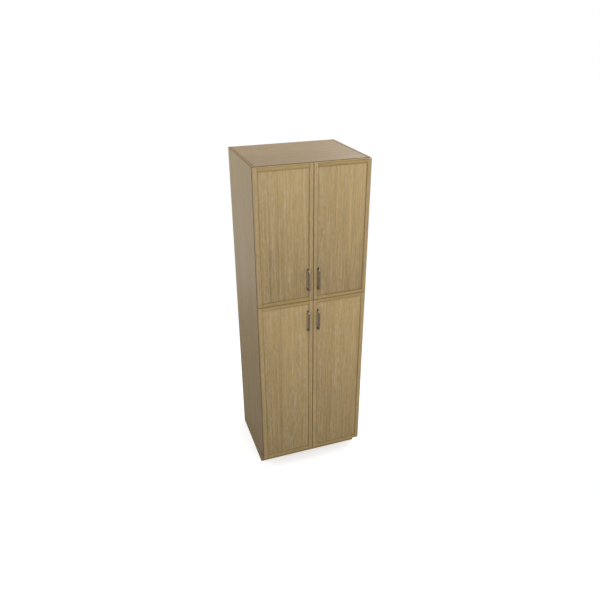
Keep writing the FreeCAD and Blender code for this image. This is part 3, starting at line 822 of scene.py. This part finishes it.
def placements(places: Array, along: Triple) -> Array:
    """Say where copies of a piece go whose own third axis is to point one way.

    Formula: the rotation's third column is that way, the first is a frame axis at right angles to it,
    and the second is the third crossed with the first.

    Args:
        places: Places in the frame, as copies by 3.
        along: The way that the piece's third axis points.

    Returns:
        Copies by 3 by 4, as skin takes them.
    """
    third = np.array(along, float)
    first = np.array((0.0, 0.0, 1.0)) if abs(third[2]) < 0.5 else np.array((1.0, 0.0, 0.0))
    turn = np.stack([first, np.cross(third, first), third], axis=1)
    return np.concatenate([np.broadcast_to(turn, (len(places), 3, 3)), places[:, :, None]], axis=2)


def wall(columns: Sequence[float], depth: float, heights: Sequence[float]) -> Array:
    """Give a place for each column at each height, all at one depth, as places by 3."""
    across, height = np.meshgrid(columns, heights)
    return np.stack([across, np.full_like(across, depth), height], axis=-1).reshape(-1, 3)


def turned(radius: Array, height: Array, around: int) -> Array:
    """Turn a profile about the third axis.

    Formula: the radius times the cosine and the sine of an angle that goes once round.

    Args:
        radius: Radius of each ring.
        height: Height of each ring.
        around: Points round each ring.

    Returns:
        Rings by points by 3.
    """
    angle = np.linspace(0, 2 * math.pi, around, endpoint=False)
    across, up = radius[:, None] * np.cos(angle), radius[:, None] * np.sin(angle)
    return np.stack([across, up, np.broadcast_to(height[:, None], across.shape)], axis=-1)


def stand_for(piece: bpy.types.Object, node: str, material: bpy.types.Material) -> None:
    """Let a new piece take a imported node's place, on its body and in its finish.

    Args:
        piece: The new piece.
        node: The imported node's name.
        material: The piece's material.
    """
    piece.data.materials.append(material)
    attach(piece, frame["nodes"][node]["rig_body"])
    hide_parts(node)


@dataclass(frozen=True)
class Screw:
    """A pan-head screw with a cross recess. Its third axis points out of the head.

    Attributes:
        head_radius: Radius of the head.
        head_height: Height of the head over its seat.
        shank_radius: Radius of the shank.
        shank_length: Length of the shank under the seat.
        arm_half: Half the width of an arm of the cross.
        arm_reach: Reach of an arm from the middle, as a share of the head's radius.
        arm_fade: Over how much of the head's radius an arm ends.
        rim: Height of the head's rim, as a share of the head's height.
        sink: Depth of the cross, as a share of the head's height.
        around: Points round each ring.
    """

    head_radius: float
    head_height: float
    shank_radius: float
    shank_length: float
    arm_half: float = 0.00055
    arm_reach: float = 0.62
    arm_fade: float = 0.12
    rim: float = 0.25
    sink: float = 0.7
    around: int = 48

    def rows(self) -> Array:
        """Work out the screw's rings from the tip of its shank to the middle of its head.

        Formula: the crown is a flattened arch over the rim, the root of one minus the fourth power of
        the share of the radius. The cross is sunk where one coordinate is small and the other is within
        reach.

        Returns:
            Rows by points by 3.
        """
        crown = np.array((1.0, 0.985, 0.94, 0.87, 0.78, 0.7, 0.64, 0.58, 0.5, 0.42, 0.34, 0.27, 0.2,
                          0.13, 0.06))
        arch = self.rim + (1 - self.rim) * np.sqrt(1 - crown ** 4)
        radius = np.concatenate([np.array((0.2, 1.0, 1.0)) * self.shank_radius,
                                 np.array((0.97, 1.0, *crown)) * self.head_radius])
        height = np.concatenate([np.array((-1.0, -0.93, 0.0)) * self.shank_length,
                                 np.array((0.0, 0.08, *arch)) * self.head_height])
        rows = turned(radius, height, self.around)
        near, far = np.moveaxis(np.sort(np.abs(rows[-len(crown):, :, :2])), -1, 0)
        inside = np.clip((self.arm_half * 1.35 - near) / (self.arm_half * 0.5), 0, 1)
        within = np.clip((self.arm_reach - far / self.head_radius) / self.arm_fade, 0, 1)
        rows[-len(crown):, :, 2] -= self.sink * self.head_height * inside * within
        return rows


@dataclass(frozen=True)
class BowPull:
    """A bow pull: a round bar on two bends, which spread into oval feet.

    Attributes:
        node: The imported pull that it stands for.
        bar_radius: Radius of the bar.
        bend: Radius of each bend's middle line.
        foot_half_width: Half the width of a foot on the door.
        foot_half_height: Half the height of a foot on the door.
        flare: How far out from the door a foot narrows to the bar.
        waist: How much thinner the bar is at its middle, as a share.
        steps: Points along each straight stretch, along each bend and along the bar.
        around: Points round the bar.
    """

    node: str
    bar_radius: float = 0.006
    bend: float = 0.010
    foot_half_width: float = 0.0065
    foot_half_height: float = 0.008
    flare: float = 0.009
    waist: float = 0.06
    steps: tuple[int, int, int] = (16, 14, 26)
    around: int = 40

    def path(self) -> tuple[Array, Array, Array]:
        """Work out the pull's middle line, from one foot to the other.

        Formula: a straight stretch out from the door, a quarter turn, the bar, a quarter turn back and
        a straight stretch in, each as evenly spaced points.

        Returns:
            The points, the direction at each and how far out from the door each is.
        """
        low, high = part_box(self.node)
        bar = low.y + self.bar_radius
        foot, head = low.z + self.foot_half_height, high.z - self.foot_half_height
        out_steps, turn_steps, run_steps = self.steps
        out = np.linspace(high.y, bar + self.bend, out_steps)
        turn = np.linspace(0, math.pi / 2, turn_steps)[1:]
        run = np.linspace(foot + self.bend, head - self.bend, run_steps)[1:-1]
        angle = np.concatenate([np.zeros(len(out)), turn])
        y = np.concatenate([out, bar + self.bend * (1 - np.sin(turn))])
        z = foot + self.bend * (1 - np.cos(angle))
        y = np.concatenate([y, np.full(len(run), bar), y[::-1]])
        z = np.concatenate([z, run, foot + head - z[::-1]])
        lead_y = np.concatenate([-np.cos(angle), np.zeros(len(run)), np.cos(angle)[::-1]])
        lead_z = np.concatenate([np.sin(angle), np.ones(len(run)), np.sin(angle)[::-1]])
        points = np.stack([np.full(len(y), (low.x + high.x) / 2), y, z], axis=-1)
        return points, np.stack([np.zeros(len(y)), lead_y, lead_z], axis=-1), high.y - y

    def build(self) -> bpy.types.Object:
        """Carry an oval along the path.

        Formula: the oval's half widths are the bar's radius plus the foot's extra, times the square of
        one minus the share of the flare; the bar thins towards its middle like half a sine wave.

        Returns:
            The pull.
        """
        points, lead, out = self.path()
        narrow = np.clip(1 - out / self.flare, 0, 1) ** 2
        height = points[:, 2]
        share = (height - height.min()) / np.ptp(height)
        slim = self.bar_radius * (1 - self.waist * np.sin(math.pi * share))
        wide = slim + (self.foot_half_width - slim) * narrow
        tall = slim + (self.foot_half_height - slim) * narrow
        angle = np.linspace(0, 2 * math.pi, self.around, endpoint=False)[:, None]
        aside = np.array((1.0, 0.0, 0.0))
        up = np.cross(lead, aside)[:, None]
        rows = points[:, None] + wide[:, None, None] * np.cos(angle) * aside
        rows += tall[:, None, None] * np.sin(angle) * up
        bow = skin(self.node + "_bow", rows, placements(np.zeros((1, 3)), (0.0, 0.0, 1.0)))
        self.mark_rubbed(bow.data)
        return bow

    def mark_rubbed(self, mesh: bpy.types.Mesh) -> None:
        """Mark where a painted highlight goes on the pull: on top of and outside its upper bend, where it
        faces up and out.

        Formula: a bell 1.3 bends wide about the outside of the upper bend, times the share of the
        surface's own direction that points up and out, less 0.2 and divided by 0.6, from 0 to 1.

        Args:
            mesh: The pull's mesh.
        """
        place, facing = (np.empty(len(mesh.vertices) * 3, np.float32) for _ in range(2))
        mesh.vertices.foreach_get("co", place)
        mesh.vertices.foreach_get("normal", facing)
        place = place.reshape(-1, 3)
        bend_height = place[:, 2].max() - self.foot_half_height - 0.2 * self.bend
        bend_depth = place[:, 1].min() + self.bar_radius + 0.3 * self.bend
        bell_width = 1.3 * self.bend
        reach = np.hypot(place[:, 2] - bend_height, place[:, 1] - bend_depth) / bell_width
        up_and_out = np.array((0.0, -0.6, 0.8))
        toward = facing.reshape(-1, 3) @ up_and_out
        rub = np.exp(-reach ** 2) * np.clip((toward - 0.2) / 0.6, 0, 1)
        mesh.attributes.new("rub", "FLOAT", "POINT").data.foreach_set("value", rub.astype(np.float32))


@dataclass(frozen=True)
class Button:
    """A soft domed button. Its third axis points out of the dome.

    Attributes:
        radius: Radius of its foot.
        height: Height of the dome.
        around: Points round each ring.
    """

    radius: float
    height: float
    around: int = 28

    def rows(self) -> Array:
        """Work out the button's rings from its foot to the top of its dome.

        Formula: a quarter turn of a rounded square, radius times the cosine to the power 0.6 and
        height times the sine to the power 0.8.

        Returns:
            Rows by points by 3.
        """
        quarter = np.linspace(0, math.pi / 2, 9)[:-1]
        radius = np.concatenate([[0.5], np.cos(quarter) ** 0.6, [0.15]])
        height = np.concatenate([[0.0], np.sin(quarter) ** 0.8, [1.0]])
        return turned(self.radius * radius, self.height * height, self.around)


# ---------------- sub-assemblies


class Place(Enum):
    """Where a door is, which nodes spell in small letters."""

    def word(self) -> str:
        """Give the place as the nodes spell it."""
        return self.name.lower()


class Side(Place):
    """The left or the right half of the cupboard, with its sign along X."""

    LEFT = -1
    RIGHT = 1


class Level(Place):
    """The upper or the lower pair of doors, with its number of hinges."""

    UPPER = 2
    LOWER = 3


@dataclass
class Carcass:
    """The boards of the box: sides, top, bottom, shelves, back, rails and toe boards.

    Attributes:
        screw: A screw of the back panel.
        button: A soft button behind a door's free corner.
        screw_columns: Where the back's screws are across the cupboard.
        back_rails: The rails that the back is screwed to.
        first_seed: The number that the first board's grain starts from.
    """

    screw: Screw = Screw(0.0035, 0.002, 0.00175, 0.018)
    button: Button = Button(0.003, 0.0023)
    screw_columns: tuple[float, ...] = (-0.27, -0.09, 0.09, 0.27)
    back_rails: tuple[str, ...] = ("upper_back_rail", "middle_back_rail", "lower_back_rail")
    first_seed: int = 3

    def build(self) -> None:
        """Dress every board and make the small pieces."""
        self.dress_boards()
        self.build_back_screws()
        self.build_buttons()

    def dress_boards(self) -> None:
        """Finish each board along its own grain."""
        seeds = count(self.first_seed)
        for finish, lay, nodes in (
            (SIDE_OAK, Lay.SIDE, ("left_side_panel", "right_side_panel")),
            (TOP_OAK, Lay.FLAT, ("top_panel",)),
            (SHELF_OAK, Lay.FLAT, ("bottom_panel", "fixed_shelf")),
            (SHELF_OAK, Lay.FLAT, ("adjustable_shelf_1", "adjustable_shelf_2")),
            (BACK_OAK, Lay.UPRIGHT, ("back_panel",)),
            (FRAME_OAK, Lay.RAIL, self.back_rails),
            (TOE_OAK, Lay.RAIL, ("toe_board",)),
            (FRAME_OAK, Lay.RAIL, ("rear_toe_rail",)),
            (BEECH, Lay.FLAT, ("carcass_dowels",)),
        ):
            for node in nodes:
                finish.apply(Board(node, lay), next(seeds))
        dress_metal("shelf_pins", NICKEL)

    def build_back_screws(self) -> None:
        """Make the screws that hold the back to its rails and to the fixed shelf."""
        low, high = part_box("back_panel")
        boxes = [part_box(name) for name in (*self.back_rails, "fixed_shelf")]
        *rails, shelf = [(under.z + over.z) / 2 for under, over in boxes]
        front = placements(wall(self.screw_columns, low.y, rails), (0.0, -1.0, 0.0))
        rear = placements(wall(self.screw_columns, high.y, [shelf]), (0.0, 1.0, 0.0))
        screws = skin("back_panel_pan_screws", self.screw.rows(), np.concatenate([front, rear]))
        stand_for(screws, "back_panel_screws", ZINC.material())

    def build_buttons(self) -> None:
        """Make the soft buttons on the front edges of the carcass."""
        low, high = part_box("door_bumpers")
        shelf_low, shelf_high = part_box("fixed_shelf")
        lap = self.button.radius
        lower_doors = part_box("left_lower_hinge_stile")[1].z
        upper_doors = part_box("left_upper_hinge_stile")[0].z
        inner = ((shelf_low.z + lower_doors) / 2, (upper_doors + shelf_high.z) / 2)
        heights = (low.z + lap, *inner, high.z - lap)
        copies = placements(wall((low.x + lap, high.x - lap), high.y, heights), (0.0, -1.0, 0.0))
        buttons = skin("door_buttons", self.button.rows(), copies, smooth_below=60.0)
        stand_for(buttons, "door_bumpers", BUMPER.material())


@dataclass
class Door:
    """One framed door with its pull.

    Attributes:
        side: Which half of the cupboard it is on.
        level: Whether it is an upper or a lower door.
        tongue: Length of the hidden tongues of its rails and panel.
        pull_screw: A screw of the pull, with its head inside the door.
    """

    side: Side
    level: Level
    tongue: float = 0.008
    pull_screw: Screw = Screw(0.0038, 0.002, 0.00195, 0.020)

    def node(self, part: str) -> str:
        """Give the full name of one of this door's nodes."""
        return f"{self.side.word()}_{self.level.word()}_{part}"

    def seed(self) -> int:
        """Give the number that the door's grain starts from."""
        first, by_level, by_side = 20, 10, 4
        return first + by_level * self.level.value + by_side * self.side.value

    def build(self) -> None:
        """Dress the door's boards and make its pull and screws."""
        boards = (
            (STILE_OAK, "hinge_stile", Lay.UPRIGHT),
            (STILE_OAK, "meeting_stile", Lay.UPRIGHT),
            (TOP_RAIL_OAK, "top_rail", Lay.RAIL, (0.0, 0.0, self.tongue)),
            (BOTTOM_RAIL_OAK, "bottom_rail", Lay.RAIL, (0.0, 0.0, self.tongue)),
            (PANEL_OAK, "door_panel", Lay.UPRIGHT, (self.tongue, 0.0, self.tongue)),
        )
        for seed, (finish, part, *rest) in enumerate(boards, self.seed()):
            finish.apply(Board(self.node(part), *rest), seed)
        pull = self.node("pull")
        stand_for(BowPull(pull).build(), pull, PEWTER.material())
        self.build_pull_screws()

    def build_pull_screws(self) -> None:
        """Make the two machine screws that hold the pull."""
        node = self.node("pull_screws")
        low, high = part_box(node)
        radius = self.pull_screw.head_radius
        heights = (low.z + radius, high.z - radius)
        places = wall([(low.x + high.x) / 2], high.y - self.pull_screw.head_height, heights)
        name = node.replace("screws", "pan_screws")
        screws = skin(name, self.pull_screw.rows(), placements(places, (0.0, 1.0, 0.0)))
        stand_for(screws, node, ZINC.material())


@dataclass
class Hinges:
    """All concealed hinges: plates and arms on the sides, cups in the doors and links between.

    Attributes:
        plate_screw: A screw of a mounting plate, which goes into the side.
        arm_screw: The screw that clamps an arm to its plate.
        from_end: How far the end hinges are from a door's ends.
        plate_screw_offset: How far a plate's screws are above and below its middle.
        plate_screw_depth: How far behind the carcass front a plate's screws are.
        arm_screw_depth: How far behind the carcass front the arm screw is.
        plate_seat: Where a plate's screw heads rest, in from the side's outer face.
        arm_seat: Where the arm screw's head rests, in from the side's outer face.
    """

    plate_screw: Screw = Screw(0.004, 0.0016, 0.0024, 0.012, 0.0007)
    arm_screw: Screw = Screw(0.0035, 0.0016, 0.002, 0.014)
    from_end: float = 0.100
    plate_screw_offset: float = 0.016
    plate_screw_depth: float = 0.037
    arm_screw_depth: float = 0.052
    plate_seat: float = 0.021
    arm_seat: float = 0.038

    def heights(self, level: Level) -> Array:
        """Work out a door's hinge heights, evenly spaced between the two end hinges."""
        low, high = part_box(f"left_{level.word()}_hinge_stile")
        return np.linspace(low.z + self.from_end, high.z - self.from_end, level.value)

    def build(self) -> None:
        """Dress the hinges and make their screws."""
        for node in ("hinge_mounting_plates", "hinge_arms"):
            dress_metal(node, NICKEL)
        for side in Side:
            for level in Level:
                for part in ("hinge_cups", "outer_links", "inner_links"):
                    dress_metal(f"{side.word()}_{level.word()}_{part}", NICKEL)
        self.build_screws()

    def build_screws(self) -> None:
        """Make the screws of every plate and arm."""
        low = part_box("left_side_panel")[0]
        middles = np.concatenate([self.heights(level) for level in Level])
        pairs = np.concatenate([middles - self.plate_screw_offset, middles + self.plate_screw_offset])
        for kind, screw, depth, seat, heights in (
            ("plate", self.plate_screw, self.plate_screw_depth, self.plate_seat, pairs),
            ("arm", self.arm_screw, self.arm_screw_depth, self.arm_seat, middles),
        ):
            copies = []
            for side in Side:
                places = wall([side.value * (-low.x - seat)], low.y + depth, heights)
                copies.append(placements(places, (-side.value, 0.0, 0.0)))
            piece = skin(f"hinge_{kind}_screws", screw.rows(), np.concatenate(copies))
            stand_for(piece, "hinge_screws", NICKEL.material())


# ---------------- the studio


@dataclass(frozen=True)
class Lamp:
    """A square soft lamp that points at the cupboard.

    Attributes:
        name: The lamp's name.
        place: Where it hangs.
        aim: What it points at.
        size: Length of its sides.
        power: Its power in watts.
    """

    name: str
    place: Triple
    aim: Triple
    size: float
    power: float

    def hang(self) -> None:
        """Add the lamp."""
        data = bpy.data.lights.new(self.name, "AREA")
        data.shape = "SQUARE"
        data.size = self.size
        data.energy = self.power
        way = (Vector(self.aim) - Vector(self.place)).to_track_quat("-Z", "Y")
        lamp = add_object(self.name, data)
        lamp.matrix_world = Matrix.Translation(self.place) @ way.to_matrix().to_4x4()


@dataclass
class Studio:
    """The pale floor, the white surroundings, the lamps and the camera.

    Attributes:
        eye: Where the camera stands.
        azimuth: How far round the camera stands, in degrees, where 0 looks along +Y.
        elevation: How far above the horizon it stands, in degrees.
        roll: How far it is turned about its own axis, in degrees.
        lens: Focal length on a 36 mm wide picture, in millimetres.
        ambient: Strength of the even light from all round.
        floor_reach: How far the floor reaches from the cupboard.
        floor_tone: The floor's colour where it lights the cupboard.
        floor_seen: The floor's colour for the camera.
        floor_lift: How much light is added to it there.
        white_seen: How far out the floor starts to turn white for the camera, and where it is white.
        white_mirrored: The same in reflections.
        lamps: The soft lamps.
    """

    eye: Triple = (-1.1708, -3.44975, 3.0536)
    azimuth: float = -18.9
    elevation: float = 26.6
    roll: float = -0.31
    lens: float = 33.75
    ambient: float = 0.713
    floor_reach: float = 60.0
    floor_tone: Triple = (0.36, 0.36, 0.355)
    floor_seen: Triple = (0.86, 0.86, 0.86)
    floor_lift: float = 0.52
    white_seen: tuple[float, float] = (0.7, 2.6)
    white_mirrored: tuple[float, float] = (2.3, 3.7)
    lamps: tuple[Lamp, ...] = field(default_factory=lambda: (
        Lamp("key", (0.7, -3.2, 3.3), (0.0, 0.0, 1.6), 2.0, 23.0),
        Lamp("low_key", (0.8, -4.4, 1.9), (0.0, 0.0, 1.2), 2.0, 25.5),
        Lamp("fill", (-2.0, -0.2, 2.9), (0.0, 0.0, 1.8), 1.5, 4.7),
        Lamp("rim", (2.6, 2.6, 4.2), (0.0, 0.0, 2.2), 1.5, 54.0),
    ))

    def build(self) -> None:
        """Set everything up."""
        self.light_world()
        self.lay_floor()
        for lamp in self.lamps:
            lamp.hang()
        self.set_camera()
        bpy.context.scene.view_settings.view_transform = "Standard"

    @staticmethod
    def rays(sheet: Sheet) -> tuple[Signal, Signal]:
        """Tell which rays see a surface.

        Args:
            sheet: Where the nodes go.

        Returns:
            1 for rays from the camera, and 1 for rays that metal or glass sends on.
        """
        path = sheet.read_all("ShaderNodeLightPath")
        mirrored = sheet.math("MAXIMUM", path["Is Glossy Ray"], path["Is Transmission Ray"])
        return path["Is Camera Ray"], mirrored

    def light_world(self) -> None:
        """Make the surroundings white to look at, with an even light of their own."""
        world = bpy.data.worlds.new("white_surroundings")
        sheet = Sheet.blank(world)
        strength = sheet.math("MAXIMUM", *self.rays(sheet)) * (1 - self.ambient) + self.ambient
        background = sheet.read("ShaderNodeBackground", {"Color": WHITE, "Strength": strength})
        sheet.add("ShaderNodeOutputWorld", {"Surface": background})
        bpy.context.scene.world = world

    def lay_floor(self) -> None:
        """Lay a pale floor, which is seen as plain white away from the cupboard.

        Formula: for the camera the lit floor is lifted to white from 0.7 m to 2.6 m out, so that only the
        shadow near the cupboard shows; in reflections it turns white from 2.3 m to 3.7 m out.
        """
        mesh = bpy.data.meshes.new("floor")
        corners = np.array(((-1, -1, 0), (1, -1, 0), (1, 1, 0), (-1, 1, 0))) * self.floor_reach
        mesh.from_pydata(corners, [], [(0, 1, 2, 3)])
        material, sheet, place = new_material("pale_floor")
        direct, mirrored = self.rays(sheet)
        tone = sheet.blend(direct, self.floor_tone, self.floor_seen)
        lit = sheet.read("ShaderNodeBsdfDiffuse", {"Color": tone})
        lift = sheet.read("ShaderNodeEmission", {"Color": WHITE, "Strength": direct * self.floor_lift})
        near = sheet.read("ShaderNodeAddShader", {0: lit, 1: lift})
        level = sheet.vector("MULTIPLY", place, (1.0, 1.0, 0.0))
        out = sheet.read("ShaderNodeVectorMath", {0: level}, "Value", operation="LENGTH")
        far = direct * sheet.step(out, *self.white_seen) + mirrored * sheet.step(out, *self.white_mirrored)
        white = sheet.read("ShaderNodeEmission", {"Color": WHITE})
        sheet.surface(sheet.read("ShaderNodeMixShader", {"Fac": far, 1: near, 2: white}))
        mesh.materials.append(material)
        floor = add_object("floor", mesh)

    def set_camera(self) -> None:
        """Stand the camera in its place.

        Formula: a camera looks straight down at first, so it is turned by the roll, raised by the quarter
        turn that the elevation leaves, and turned round by the azimuth.
        """
        turn = Matrix.Identity(4)
        for angle, axis in ((self.azimuth, "Z"), (90.0 - self.elevation, "X"), (self.roll, "Z")):
            turn @= Matrix.Rotation(math.radians(angle), 4, axis)
        data = bpy.data.cameras.new("camera")
        data.lens = self.lens
        data.sensor_width = 36.0
        camera = add_object("camera", data)
        camera.matrix_world = Matrix.Translation(self.eye) @ turn
        bpy.context.scene.camera = camera


def main() -> None:
    """Build the cupboard's looks and its studio."""
    logging.basicConfig(level=logging.INFO, format="%(name)s: %(message)s")
    Studio().build()
    Carcass().build()
    for level in Level:
        for side in Side:
            Door(side, level).build()
    Hinges().build()


if __name__ == "__main__":
    main()
